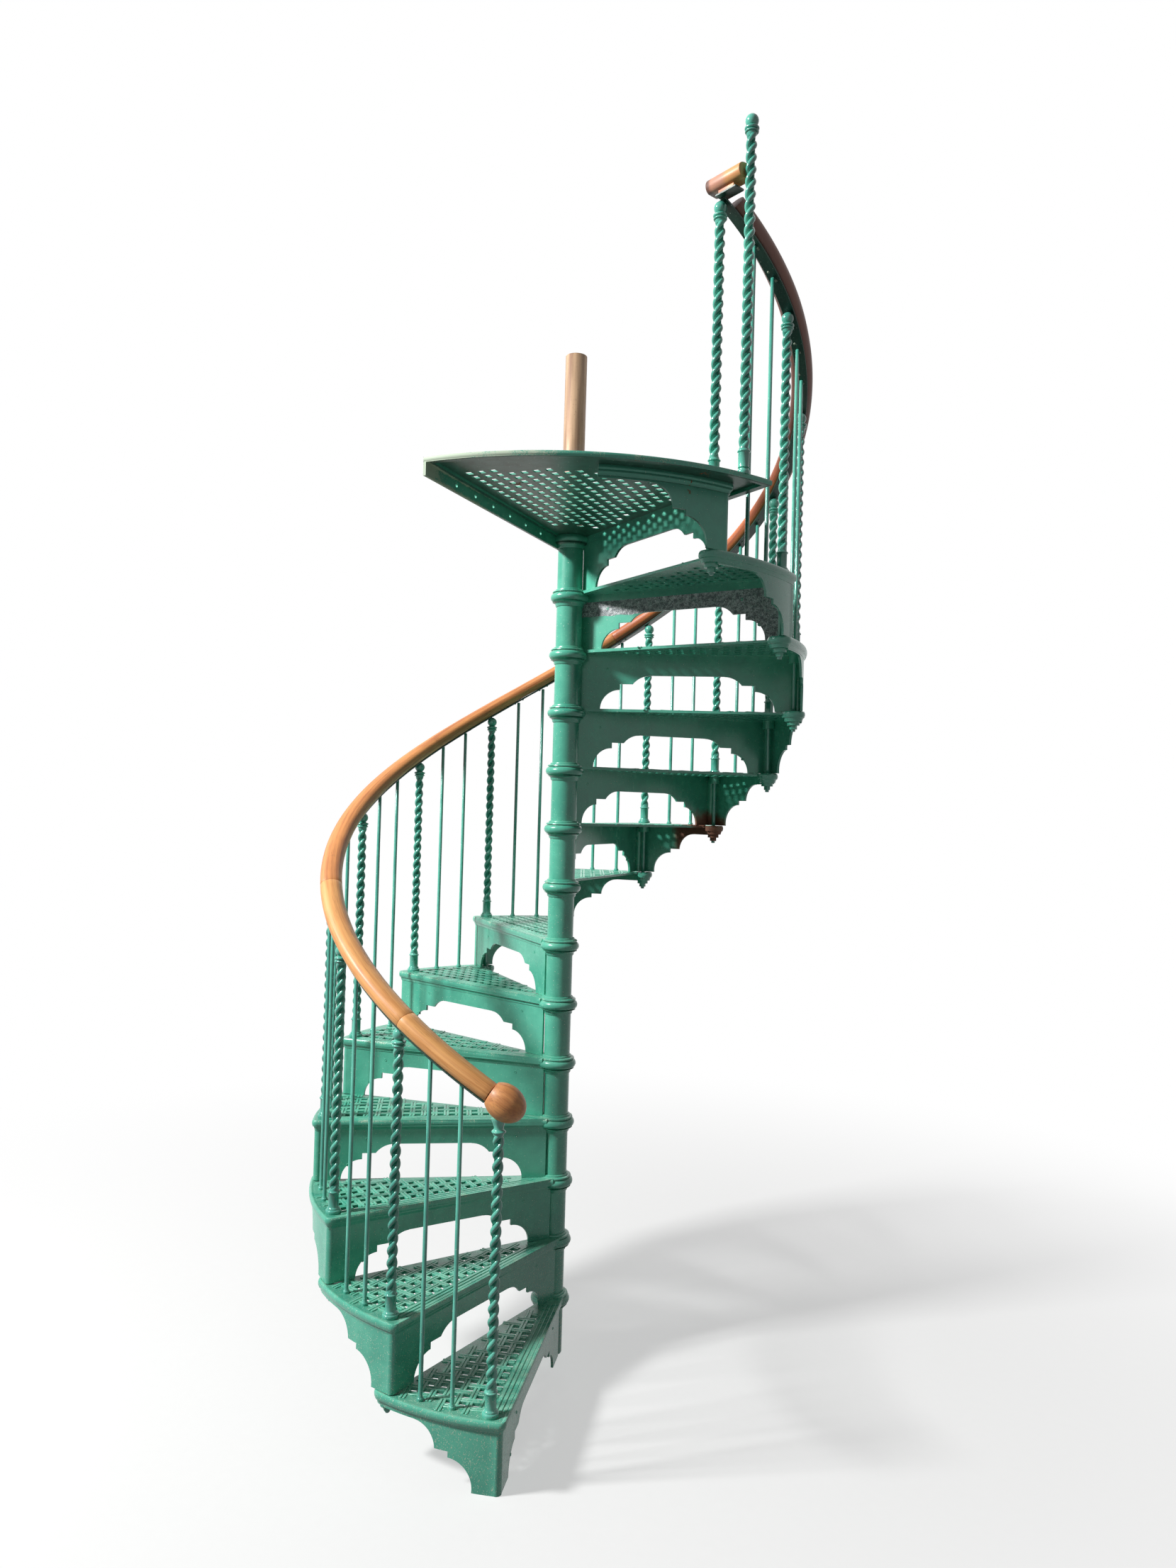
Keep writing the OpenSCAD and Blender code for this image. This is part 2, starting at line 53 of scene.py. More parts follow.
ahead = Vector((math.sin(heading) * math.cos(tilt), math.cos(heading) * math.cos(tilt), math.sin(tilt)))
level = Vector((math.cos(heading), -math.sin(heading), 0))
above = level.cross(ahead)
right = math.cos(lean) * level + math.sin(lean) * above
up = math.cos(lean) * above - math.sin(lean) * level

lens = bpy.data.cameras.new("viewpoint")
lens.sensor_fit = "VERTICAL"
lens.sensor_height = 36
lens.lens = 24.84
lens.clip_end = 200
viewpoint = bpy.data.objects.new("viewpoint", lens)
viewpoint.matrix_world = Matrix((
    (right.x, up.x, -ahead.x, eye.x),
    (right.y, up.y, -ahead.y, eye.y),
    (right.z, up.z, -ahead.z, eye.z),
    (0, 0, 0, 1)))
bpy.context.scene.collection.objects.link(viewpoint)
bpy.context.scene.camera = viewpoint
bpy.context.scene.view_settings.view_transform = "Standard"


# ---- Studio --------------------------------------------------------------------------------
# A wide pale floor under a white surround, painted darker round the stair as a painted shadow.
# One strong lamp stands high in front on the left, a weak one fills from the right, and a third lights the
# back.
class Wire:
    """A shader value that can be added up: each expression lays down its own Math node."""

    def __init__(self, finish, socket):
        self.finish, self.socket = finish, socket

    def sum(self, operation, *values, clamp=False):
        inputs = {i: v for i, v in enumerate(values)}
        return self.finish.add("ShaderNodeMath", {"operation": operation, "use_clamp": clamp}, inputs)

    def __add__(self, other): return self.sum("ADD", self, other)
    def __radd__(self, other): return self.sum("ADD", other, self)
    def __sub__(self, other): return self.sum("SUBTRACT", self, other)
    def __rsub__(self, other): return self.sum("SUBTRACT", other, self)
    def __mul__(self, other): return self.sum("MULTIPLY", self, other)
    def __rmul__(self, other): return self.sum("MULTIPLY", other, self)
    def __truediv__(self, other): return self.sum("DIVIDE", self, other)
    def __rtruediv__(self, other): return self.sum("DIVIDE", other, self)
    def __pow__(self, other): return self.sum("POWER", self, other)

    def most(self, other): return self.sum("MAXIMUM", self, other)
    def least(self, other): return self.sum("MINIMUM", self, other)

    def between(self, low, high):
        """0 below low, 1 above high, and even between them."""
        settings = {"interpolation_type": "SMOOTHSTEP"}
        return self.finish.add("ShaderNodeMapRange", settings, {0: self, 1: low, 2: high})

    def output(self, name):
        return Wire(self.finish, self.socket.node.outputs[name])


class Finish:
    """A material or world and the nodes that make it."""

    def __init__(self, name, holder=None):
        self.holder = holder or bpy.data.materials.new(name)
        self.holder.use_nodes = True
        self.tree = self.holder.node_tree
        self.tree.nodes.clear()

    def add(self, kind, settings=None, sockets=None, output=0):
        node = self.tree.nodes.new(kind)
        for name, value in (settings or {}).items():
            if name == "stops":
                ramp = node.color_ramp
                while len(ramp.elements) < len(value):
                    ramp.elements.new(1)
                for element, (at, colour) in zip(ramp.elements, value):
                    element.position, element.color = at, (*colour, 1)
            else:
                setattr(node, name, value)
        for name, value in (sockets or {}).items():
            if isinstance(value, Wire):
                self.tree.links.new(value.socket, node.inputs[name])
            else:
                node.inputs[name].default_value = value
        return Wire(self, node.outputs[output]) if len(node.outputs) else None

    def noise(self, place, scale, detail=3, rough=0.55, stretch=None):
        if stretch:
            place = self.add("ShaderNodeMapping", None, {0: place, 3: stretch})
        sockets = {"Vector": place, "Scale": scale, "Detail": detail, "Roughness": rough}
        return self.add("ShaderNodeTexNoise", None, sockets)

    def mix(self, amount, first, second):
        settings = {"data_type": "RGBA", "clamp_factor": True}
        colours = {6: first, 7: second}
        for key, colour in colours.items():
            if not isinstance(colour, Wire):
                colours[key] = (*colour, 1)
        return self.add("ShaderNodeMix", settings, {0: amount, **colours}, 2)

    def bump(self, height, distance, strength=1):
        sockets = {"Height": height, "Distance": distance, "Strength": strength}
        return self.add("ShaderNodeBump", None, sockets)

    def background_shows(self):
        """1 for the rays that show the background: the camera's, and those off metal or through glass."""
        ray = self.add("ShaderNodeLightPath", None, None, "Is Camera Ray")
        return ray.most(ray.output("Is Glossy Ray")).most(ray.output("Is Transmission Ray"))

    def surface(self, sockets):
        shader = self.add("ShaderNodeBsdfPrincipled", None, sockets)
        self.add("ShaderNodeOutputMaterial", None, {"Surface": shader})
        return self.holder


def tone(red, green, blue):
    """A colour given as it looks on a screen, 0 to 255, as linear light."""
    def linear(c):
        return c / 255 / 12.92 if c < 10 else ((c / 255 + 0.055) / 1.055) ** 2.4
    return tuple(linear(c) for c in (red, green, blue))


def stand(name, mesh_maker):
    """New object whose mesh the maker fills, at the origin."""
    mesh = bpy.data.meshes.new(name)
    bm = bmesh.new()
    mesh_maker(bm)
    bm.to_mesh(mesh)
    bm.free()
    thing = bpy.data.objects.new(name, mesh)
    bpy.context.scene.collection.objects.link(thing)
    return thing


surround = bpy.data.worlds.new("surround")
bpy.context.scene.world = surround
sky = Finish("surround", surround)
seen = sky.background_shows()
sky_light = 0.06
glow = sky.add("ShaderNodeBackground", None,
               {"Color": (1, 1, 1, 1), "Strength": seen * (1 - sky_light) + sky_light})
sky.add("ShaderNodeOutputWorld", None, {"Surface": glow})

floor = stand("floor", lambda bm: bmesh.ops.create_grid(bm, x_segments=1, y_segments=1, size=40))
ground = Finish("pale_floor")
grit = ground.noise(ground.add("ShaderNodeTexCoord", None, None, "Object"), 30, 4)
seen = ground.background_shows()
bounce = (0.13, 0.13, 0.13)
pale = ground.mix(seen, bounce, ground.mix(grit, (0.80, 0.80, 0.79), (0.84, 0.84, 0.83)))
matt = ground.add("ShaderNodeBsdfPrincipled", None,
                  {"Base Color": pale, "Roughness": 0.9, "Specular IOR Level": 0.1})
lit = ground.add("ShaderNodeEmission", None, {"Color": (1, 1, 1, 1), "Strength": 1.0})
away = ground.add("ShaderNodeVectorMath", {"operation": "LENGTH"},
                  {0: ground.add("ShaderNodeTexCoord", None, None, "Object")}, "Value")
# Painted shadow: within a few metres of the stair the floor glows less for the camera, so it looks darker
# round and under the stair.
near_stair, clear_of_stair, least_glow = 0.7, 4.2, 0.52
share = seen * (away.between(near_stair, clear_of_stair) * (1 - least_glow) + least_glow)
blend = ground.add("ShaderNodeMixShader", None, {0: share, 1: matt, 2: lit})
ground.add("ShaderNodeOutputMaterial", None, {"Surface": blend})
floor.data.materials.append(ground.holder)

stair_middle = Vector((0, 0, 1.7))
for name, place, size, power in (("key", (-4.73, -4.26, 6.4), 1.1, 960),
                                 ("fill", (4.6, -2.6, 3.2), 3.0, 6),
                                 ("back", (-1.5, 5.0, 4.5), 3.0, 42)):
    lamp = bpy.data.lights.new(name, "AREA")
    lamp.size, lamp.energy = size, power
    holder = bpy.data.objects.new(name, lamp)
    holder.location = place
    holder.rotation_euler = (stair_middle - Vector(place)).to_track_quat("-Z", "Y").to_euler()
    bpy.context.scene.collection.objects.link(holder)


# ---- Tread castings ------------------------------------------------------------------------
# Thirteen iron castings, each a pierced plate with riser, apron and hub cast in one, threaded
# on the pipe. The solids carry the shape; this lays the weave, ribs and nosing over them.
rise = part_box("tread_01")[1].z
first_line, last_line = 1, 14
landing_low, landing_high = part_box("landing_post")
landing_centre = (landing_low + landing_high) / 2
post_ring = math.hypot(landing_centre.x, landing_centre.y)
step_turn, landing_extra = math.radians(24.25), math.radians(2)
last_angle = math.atan2(landing_centre.y, landing_centre.x)


def line_angle(k):
    """Direction of the line through post k, which may lie between two posts."""
    short = last_line - 1
    if k > short:
        return last_angle + (last_line - k) * (step_turn + landing_extra)
    return last_angle + landing_extra + (last_line - k) * step_turn


def at_line(k, radius=0.0, angle=0.0, height=0.0):
    """Matrix of the frame at post line k: +X outwards, height above tread k."""
    return (Matrix.Translation((0, 0, k * rise + height)) @ Matrix.Rotation(line_angle(k) + angle, 4, "Z")
            @ Matrix.Translation((radius, 0, 0)))


def finish_mesh(bm, weld=1e-6):
    """Joins points that lie within weld of each other and turns every face outwards."""
    bmesh.ops.remove_doubles(bm, verts=bm.verts[:], dist=weld)
    bmesh.ops.recalc_face_normals(bm, faces=bm.faces[:])


def place_copies(name, bm_source, places, material, replaced=(), smooth=50, face_flat=False):
    """One object made of copies of a finished bmesh, each set down by its matrix. Edges sharper
    than smooth degrees stay sharp; face_flat also keeps level and upright faces flat."""
    for face in bm_source.faces:
        face.smooth = not (face_flat and max(abs(face.normal.z), abs(face.normal.y)) > 0.9995)
    source = bpy.data.meshes.new("pattern")
    bm_source.to_mesh(source)
    if "custom_normal" in source.attributes:
        source.attributes.remove(source.attributes["custom_normal"])
    target = bmesh.new()
    for place in places:
        before = len(target.verts)
        target.from_mesh(source)
        target.verts.ensure_lookup_table()
        bmesh.ops.transform(target, matrix=place, verts=target.verts[before:])
    mesh = bpy.data.meshes.new(name)
    target.to_mesh(mesh)
    target.free()
    bpy.data.meshes.remove(source)
    mesh.set_sharp_from_angle(angle=math.radians(smooth))
    mesh.materials.append(material)
    piece = bpy.data.objects.new(name, mesh)
    bpy.context.scene.collection.objects.link(piece)
    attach(piece, "root")
    if replaced:
        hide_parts(*replaced)
    return piece


def painted_iron(name, light, dark, rust=0.0, specks=0.5, dust=0.5, shine=0.3, ground_dirt=1.0,
                 underside_shade=0.0, rust_at=None):
    """Old gloss paint over rough cast iron: uneven tone, pale specks, chips, dust on top, painted shade
    below and, round rust_at, a patch of scale on the inner side of the apron."""
    f = Finish(name)
    place = f.add("ShaderNodeTexCoord", None, None, "Object")
    level = f.add("ShaderNodeSeparateXYZ", None, {0: place}, "Z")
    normal = f.add("ShaderNodeNewGeometry", None, None, "Normal")
    facing = f.add("ShaderNodeSeparateXYZ", None, {0: normal}, "Z")
    worn = f.add("ShaderNodeAttribute", {"attribute_name": "worn"}, None, "Fac")
    primer = f.add("ShaderNodeAttribute", {"attribute_name": "primer"}, None, "Fac")
    groove = f.add("ShaderNodeAttribute", {"attribute_name": "groove"}, None, "Fac")
    broad = f.noise(place, 3.5, 3)
    cloud = f.noise(place, 24, 4)
    grain = f.noise(place, 230, 2, 0.6)
    fine = f.noise(place, 420, 3, 0.65)
    low = 1 - level.between(0.10, 0.75)
    colour = f.mix((broad * 0.65 + cloud * 0.35).between(0.36, 0.64), dark, light)
    run = f.noise(place, 8, 4, 0.6, (7, 7, 0.7)).between(0.56, 0.74)
    colour = f.mix(run * 0.16, colour, tuple(c * 0.60 for c in dark))
    # Painted shade with some dirt: the lowered plate top between the weave's bars goes darker.
    colour = f.mix(groove * 0.34, colour, tuple(c * 0.14 for c in dark))
    # Painted shade: faces that turn downwards are darkened towards a dark greenish brown.
    if underside_shade:
        colour = f.mix(facing.between(-0.5, -0.9) * (cloud * 0.5 + 0.5) * underside_shade, colour, tone(36, 37, 25))
    film = (1 - groove * 0.45) * facing.between(0.5, 0.95) * cloud.between(0.30, 0.68) * dust
    colour = f.mix(film, colour, tone(150, 186, 164))
    cells = f.add("ShaderNodeTexVoronoi", None, {"Vector": place, "Scale": 190.0})
    pick = f.add("ShaderNodeSeparateXYZ", None, {0: cells.output("Color")}, "X")
    rare = low * (-0.32 * ground_dirt) + (0.955 - 0.05 * specks)
    spot = (1 - (cells + (fine - 0.5) * 0.5).between(0.10, 0.30)) * pick.between(rare, rare + 0.03)
    colour = f.mix(spot * 0.85, colour, tone(214, 230, 212))
    scrape = f.noise(place, 260, 5, 0.75, (1, 1, 0.55))
    thin = (scrape + low * (0.05 * ground_dirt)).between(0.635, 0.665) * (low * 0.65 + 0.3)
    edge_wear = (worn * 0.24 + fine * 0.6 + cloud * 0.4).between(0.72, 0.80) * worn.between(0.05, 0.25)
    bare = thin.most(edge_wear)
    colour = f.mix(bare * 0.85, colour, tone(212, 222, 198))
    patch = f.noise(place, 6, 5, 0.65)
    crust = f.noise(place, 85, 5, 0.7)
    rusty = (patch + (crust - 0.5) * 0.35).between(0.765 - 0.1 * rust, 0.80 - 0.1 * rust)
    rust_tone = f.mix(crust, tone(84, 46, 28), tone(176, 98, 52))
    if rust_at is None:
        colour = f.mix(rusty, colour, rust_tone)
    else:
        away = f.add("ShaderNodeVectorMath", {"operation": "DISTANCE"},
                     {0: place, 1: tuple(rust_at)}, "Value")
        flat_place = f.add("ShaderNodeVectorMath", {"operation": "MULTIPLY"}, {0: place, 1: (1, 1, 0)})
        radius = f.add("ShaderNodeVectorMath", {"operation": "LENGTH"}, {0: flat_place}, "Value")
        inside = 1 - radius.between(0.7985, 0.8005)
        scaly = (1 - (away + (patch - 0.5) * 0.14).between(0.10, 0.16)) * inside
        rusty = rusty.most(scaly)
        scale_tone = f.mix(crust, tone(58, 36, 26), tone(122, 78, 54))
        colour = f.mix(scaly, f.mix(rusty, colour, rust_tone), scale_tone)
    east = f.add("ShaderNodeSeparateXYZ", None, {0: place}, "X")
    reach_out = east * math.cos(line_angle(13)) + east.output("Y") * math.sin(line_angle(13))
    kept = reach_out.between(0.25, 0.31).most((level - 13 * rise).between(-0.095, -0.075))
    chalk = (primer * kept * 1.1 + (cloud - 0.5) * 1.2).between(0.45, 0.62)
    speckle = f.mix((fine * 0.5 + crust * 0.5).between(0.45, 0.56), tone(104, 111, 114), tone(214, 217, 218))
    colour = f.mix(chalk, colour, speckle)
    rough = shine + cloud * 0.14 + film * 0.22 + bare * 0.3 + rusty * 0.5 + chalk * 0.45
    height = grain * 0.22 + cloud * 0.5 - bare * 0.3 - rusty * 0.5 + spot * 0.5 + chalk * fine * 0.8
    return f.surface({"Base Color": colour, "Roughness": rough.least(0.95),
                      "Normal": f.bump(height, 0.0010, 0.6)})


casting_light, casting_dark = tone(92, 188, 160), tone(70, 166, 141)
casting_paint = painted_iron("casting_paint", casting_light, casting_dark, rust=0.25, specks=0.8,
                             dust=0.38, shine=0.19,
                             rust_at=at_line(9, 0.795, math.radians(-19), -0.070).translation)

outer_edge, nosing_out = 0.812, 0.051
corner, ear = 0.020, 0.0385
sink = 0.0030
lip_inset = 0.0024
back_of_riser = 0.032


def nosing_path(turn, ear_sweep=math.radians(162), stop=None):
    """Stations (x, y, direction of the outward side) round the nosing, from hub to ear."""
    fillet, collar = 0.040, 0.066
    fx, fy = math.sqrt((fillet + collar) ** 2 - (nosing_out + fillet) ** 2), nosing_out + fillet
    first = math.atan2(fy, fx)
    stations = []
    for i in range(6):
        a = first + (math.pi / 2 - first) * i / 5
        stations.append((fx - fillet * math.cos(a), fy - fillet * math.sin(a), a))
    stations += [(x, nosing_out, math.pi / 2) for x in (0.30, 0.55)]
    cx = math.sqrt((outer_edge - corner) ** 2 - (nosing_out - corner) ** 2)
    cy = nosing_out - corner
    last = math.atan2(cy, cx)
    for i in range(9):
        a = math.pi / 2 + (last - math.pi / 2) * i / 8
        stations.append((cx + corner * math.cos(a), cy + corner * math.sin(a), a))
    end = -turn if stop is None else stop
    arc_steps = 14
    for i in range(1, arc_steps + 1):
        a = last + (end - last) * i / arc_steps
        stations.append((outer_edge * math.cos(a), outer_edge * math.sin(a), a))
    if stop is None:
        px, py = post_ring * math.cos(-turn), post_ring * math.sin(-turn)
        for i in range(1, 15):
            a = -turn - ear_sweep * i / 14
            stations.append((px + ear * math.cos(a), py + ear * math.sin(a), a))
    return stations


def sweep(bm, profile, stations):
    """Closed ring of (out, up) points drawn along stations, with both ends closed."""
    def seat(x, y, a):
        return Matrix.Translation((x, y, 0)) @ Matrix.Rotation(a, 4, "Z")
    place = seat(*stations[0])
    ring = [bm.verts.new(place @ Vector((out, 0, high))) for out, high in profile]
    edges = [bm.edges.new((ring[i], ring[(i + 1) % len(ring)])) for i in range(len(ring))]
    bm.faces.new(ring)
    for station in stations[1:]:
        grown = bmesh.ops.extrude_edge_only(bm, edges=edges)["geom"]
        verts = [g for g in grown if isinstance(g, bmesh.types.BMVert)]
        step = seat(*station)
        bmesh.ops.transform(bm, matrix=step @ place.inverted(), verts=verts)
        place = step
        new = set(verts)
        edges = [g for g in grown if isinstance(g, bmesh.types.BMEdge) and set(g.verts) <= new]
    bmesh.ops.contextual_create(bm, geom=edges)


# Bullnose, quirk and hollow of the nosing: (out, up) in mm from the tread's edge and top.
nosing_profile = [(-12.0, -2.6), (-9.4, -1.5), (-6.2, -0.8), (-3.4, -1.6), (-1.4, -4.2), (-0.3, -7.8),
                  (0.0, -12.0), (-0.5, -16.4), (-1.8, -20.0), (-4.2, -22.8), (-6.6, -23.6),
                  (-6.7, -25.4), (-7.4, -27.9), (-8.4, -30.6), (-9.0, -33.0), (-9.0, -34.8),
                  (-13.4, -35.2), (-15.4, -31.0), (-15.4, -4.0)]
nosing_profile = [(x / 1000, z / 1000) for x, z in nosing_profile]


hub_clear, edge_clear, back_band, boss_clear = 0.14, 0.750, 0.060, 0.052


def has_hole(x, y, turn):
    """True clear of the hub, the rim, the plain band and the boss of the next post."""
    near_next = math.hypot(x - post_ring * math.cos(turn), y + post_ring * math.sin(turn))
    r = math.hypot(x, y)
    over_back = x * math.sin(turn) + y * math.cos(turn)
    return hub_clear < r < edge_clear and over_back > back_band and near_next > boss_clear


def flat_bar(bm, place, length, width, top, base):
    """Flat bar with eased top edges and tapered ends, lying along the X of its place."""
    half, side, ease = length / 2, width / 2, 0.0009
    blunt, shoulder = side * 0.42, half - side * 0.58
    outline = [(half, blunt), (shoulder, side), (-shoulder, side), (-half, blunt),
               (-half, -blunt), (-shoulder, -side), (shoulder, -side), (half, -blunt)]
    verts = [bm.verts.new((x, y, base)) for x, y in outline]
    face = bm.faces.new(verts)
    taper = ((half - ease) / half, (side - ease) / side, 1)
    for lift, scale in ((top - ease - base, (1, 1, 1)), (ease, taper)):
        grown = bmesh.ops.extrude_face_region(bm, geom=[face])["geom"]
        face = next(g for g in grown if isinstance(g, bmesh.types.BMFace))
        new = [g for g in grown if isinstance(g, bmesh.types.BMVert)]
        bmesh.ops.scale(bm, vec=scale, verts=new)
        bmesh.ops.translate(bm, vec=(0, 0, lift), verts=new)
        verts += new
    bmesh.ops.transform(bm, matrix=place, verts=verts)


strap_pitch, strap_half, bar_width, bar_base = 0.0385, 0.00525, 0.0076, -0.0038
over_length, end_length, end_shift = 0.0585, 0.0205, 0.0185
quarter = Matrix.Rotation(math.pi / 2, 4, "Z")


def weave(bm, hole_at, start, columns, rows, turned=0.0, first_row=None):
    """Two-bar straps woven over and under between square holes, all in one flat layer."""
    turn_to = Matrix.Rotation(turned, 4, "Z")
    for i in range(-1, columns):
        for j in range(-1, rows):
            x, y = start[0] + strap_pitch / 2 - i * strap_pitch, start[1] + strap_pitch / 2 - j * strap_pitch
            around = sum(hole_at(x + dx, y + dy) for dx in (-strap_pitch / 2, strap_pitch / 2)
                         for dy in (-strap_pitch / 2, strap_pitch / 2))
            along = (i + j) % 2 == 0
            if around < 1 or (first_row is not None and j < first_row) or (j == first_row and along):
                continue
            for side in (-strap_half, strap_half):
                length = over_length
                if along:
                    spot = Matrix.Translation((x, y + side, 0))
                elif j == first_row:
                    spot, length = Matrix.Translation((x + side, y - end_shift, 0)) @ quarter, end_length
                else:
                    spot = Matrix.Translation((x + side, y, 0)) @ quarter
                flat_bar(bm, turn_to @ spot, length, bar_width, 0, bar_base)


def lathe(bm, profile, segments=32, place=None):
    """Profile of (radius, height) points turned about +Z, closed where it meets the axis."""
    before = set(bm.verts)
    verts = [bm.verts.new((max(r, 0), 0, z)) for r, z in profile]
    edges = [bm.edges.new((verts[i], verts[i + 1])) for i in range(len(verts) - 1)]
    if profile[0][0] > 0:
        edges.append(bm.edges.new((verts[-1], verts[0])))
    bmesh.ops.spin(bm, geom=verts + edges, cent=(0, 0, 0), axis=(0, 0, 1), angle=math.tau, steps=segments,
                   use_merge=True)
    if place is not None:
        bmesh.ops.transform(bm, matrix=place, verts=[v for v in bm.verts if v not in before])


def arc_points(radius, centre_r, centre_z, start, end, steps):
    turns = [math.radians(start + (end - start) * i / steps) for i in range(steps + 1)]
    return [(centre_r + radius * math.cos(a), centre_z + radius * math.sin(a)) for a in turns]


def solid_copy(node, back):
    """The node's own solid, merged and set in its local frame."""
    bm = bmesh.new()
    bm.from_mesh(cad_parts[node].data)
    bmesh.ops.remove_doubles(bm, verts=bm.verts[:], dist=1e-5)
    bmesh.ops.transform(bm, matrix=back, verts=bm.verts[:])
    return bm


def draw_in(bm, outline, amount):
    """Moves the rim of the solid inwards along the nosing's path, so the nosing fits round it."""
    nosing_foot, near_hub, edge_near, lip_back, exact = -0.0345, 0.08, 0.0088, 0.008, 0.0008
    for v in bm.verts:
        if v.co.z < nosing_foot or v.co.xy.length < near_hub:
            continue
        for a, b in zip(outline, outline[1:]):
            run = Vector((b[0] - a[0], b[1] - a[1]))
            t = min(1.0, max(0.0, (v.co.xy - Vector(a[:2])).dot(run) / run.length_squared))
            side = a[2] + (b[2] - a[2]) * t
            foot = Vector(a[:2]) + run * t
            out = (v.co.xy - foot).dot(Vector((math.cos(side), math.sin(side))))
            on_lip = abs(out) < exact or abs(out + lip_back) < exact
            if (v.co.xy - foot).length < edge_near and on_lip:
                v.co.x -= amount * math.cos(side)
                v.co.y -= amount * math.sin(side)
                break


def hub_rings(bm):
    """Small raised ring round the foot of the sleeve above, and a fillet under the bead."""
    sleeve = 0.0446
    lathe(bm, [(sleeve, -0.002), (sleeve, 0.0075), (sleeve + 0.0022, 0.0078), (sleeve + 0.0052, 0.0062),
               (sleeve + 0.0062, 0.0035), (sleeve + 0.0062, 0.0014), (0.0560, 0.0008), (0.0590, -0.0010),
               (0.0600, -0.0040), (sleeve, -0.0040)], 48)
    lathe(bm, [(sleeve - 0.002, -0.0535), (sleeve + 0.0018, -0.0530), (sleeve + 0.0040, -0.0500),
               (sleeve + 0.0046, -0.0440), (sleeve + 0.0080, -0.0400), (sleeve + 0.0150, -0.0370),
               (sleeve - 0.002, -0.0370)], 48)


plate_under = -0.0100


def thin_plate(bm, under=plate_under):
    """Lowers the plate's top by the weave's depth, marks it as groove for painted shade with some dirt, and
    sets its underside.
    """
    groove = bm.verts.layers.float.new("groove")
    for v in bm.verts:
        if v.co.xy.length > 0.075:
            if abs(v.co.z) < 1e-4:
                v.co.z = -sink
                v[groove] = 1.0
            elif abs(v.co.z - plate_under) < 2e-5:
                v.co.z = under


plug = [(0, -0.0004), (0.0026, 0.0002), (0.0034, 0.0012), (0.0044, 0.0010), (0.0050, -0.0004), (0, -0.0006)]


def casting(node, back, turn, bare_back=False):
    """A whole tread in its own frame; bare_back marks the riser's back for the grey primer."""
    bm = solid_copy(node, back)
    outline = nosing_path(turn)
    draw_in(bm, outline, lip_inset)
    thin_plate(bm)
    if bare_back:
        primer = bm.verts.layers.float.new("primer")
        for v in bm.verts:
            if abs(v.co.y - back_of_riser) < 2e-4 and v.co.z < -0.03:
                v[primer] = 1.0
    weave(bm, lambda x, y: has_hole(x, y, turn), (0.736, -0.013), 19, 10, first_row=0)
    for y, width, start, end in ((0.0075, 0.0090, 0.100, 0.766), (0.0212, 0.0088, 0.092, 0.758),
                                 (0.0350, 0.0100, 0.086, 0.745)):
        flat_bar(bm, Matrix.Translation(((start + end) / 2, y, 0)), end - start, width, -0.0002, bar_base)
    sweep(bm, nosing_profile, outline)
    hub_rings(bm)
    for x, z in ((0.135, -0.060), (0.630, -0.066), (0.690, -0.150)):
        for y, flip in ((0.040, -90), (back_of_riser, 90)):
            spot = Matrix.Translation((x, y, z)) @ Matrix.Rotation(math.radians(flip), 4, "X")
            lathe(bm, plug, 12, spot)
    finish_mesh(bm)
    worn = bm.verts.layers.float.new("worn")
    for v in bm.verts:
        edge = max(0.0, 1 - abs(v.co.z + 0.004) / 0.012)
        front = max(0.0, 1 - abs(v.co.y - nosing_out) / 0.030)
        rim = max(0.0, 1 - abs(v.co.xy.length - outer_edge) / 0.016)
        v[worn] = edge * max(front, rim * 0.7)
    return bm


near_turn = line_angle(1) - line_angle(2)
far_turn = line_angle(13) - line_angle(14)
pattern = casting("tread_02", at_line(2).inverted(), near_turn)
for k in range(first_line, last_line - 1):
    place_copies(f"casting_{k:02d}", pattern, [at_line(k)], casting_paint,
                 (f"tread_{k:02d}",), 35, True)
pattern.free()
pattern = casting("tread_13", at_line(13).inverted(), far_turn, True)
place_copies("casting_13", pattern, [at_line(13)], casting_paint,
             ("tread_13",), 35, True)
pattern.free()

# ---- Landing -------------------------------------------------------------------------------
# One larger casting: a thin pierced plate whose rim reaches past its riser and apron, with a
# moulding between them and a bolting flange down its far edge.
landing_paint = painted_iron("landing_paint", casting_light, casting_dark, rust=0.55, specks=0.8,
                             dust=0.4, shine=0.28, underside_shade=1.0)
rim, rim_inset = 0.8998, 0.0016
far_angle = math.radians(-55.6)
land_back = Vector((math.cos(far_angle), math.sin(far_angle)))
land_side = Vector((-math.sin(far_angle), math.cos(far_angle)))
plate_front = 0.118


def landing_hole(u, v):
    p = land_back * u + land_side * v
    r = p.length
    clear_of_riser = p.y < 0.012 or p.y > back_band
    return hub_clear < r < 0.752 and clear_of_riser and p.y < plate_front - 0.034 and v > 0.0 and u > 0


bm = solid_copy("landing", at_line(14).inverted())
for v in bm.verts:
    r = v.co.xy.length
    if r > rim - 0.0005 and v.co.z > -0.016:
        v.co.x *= (rim - rim_inset) / r
        v.co.y *= (rim - rim_inset) / r
thin_plate(bm, -0.0055)
turn_to = Matrix.Rotation(far_angle, 4, "Z")
for i in range(-1, 19):
    for j in range(-1, 21):
        u, v = 0.742 + strap_pitch / 2 - i * strap_pitch, 0.010 - strap_pitch / 2 + j * strap_pitch
        around = sum(landing_hole(u + du, v + dv) for du in (-strap_pitch / 2, strap_pitch / 2)
                     for dv in (-strap_pitch / 2, strap_pitch / 2))
        if around < 2:
            continue
        for side in (-strap_half, strap_half):
            if (i + j) % 2 == 0:
                spot = Matrix.Translation((u, v + side, 0))
            else:
                spot = Matrix.Translation((u + side, v, 0)) @ quarter
            flat_bar(bm, turn_to @ spot, over_length, bar_width, 0, bar_base)
tip = math.asin(plate_front / rim)
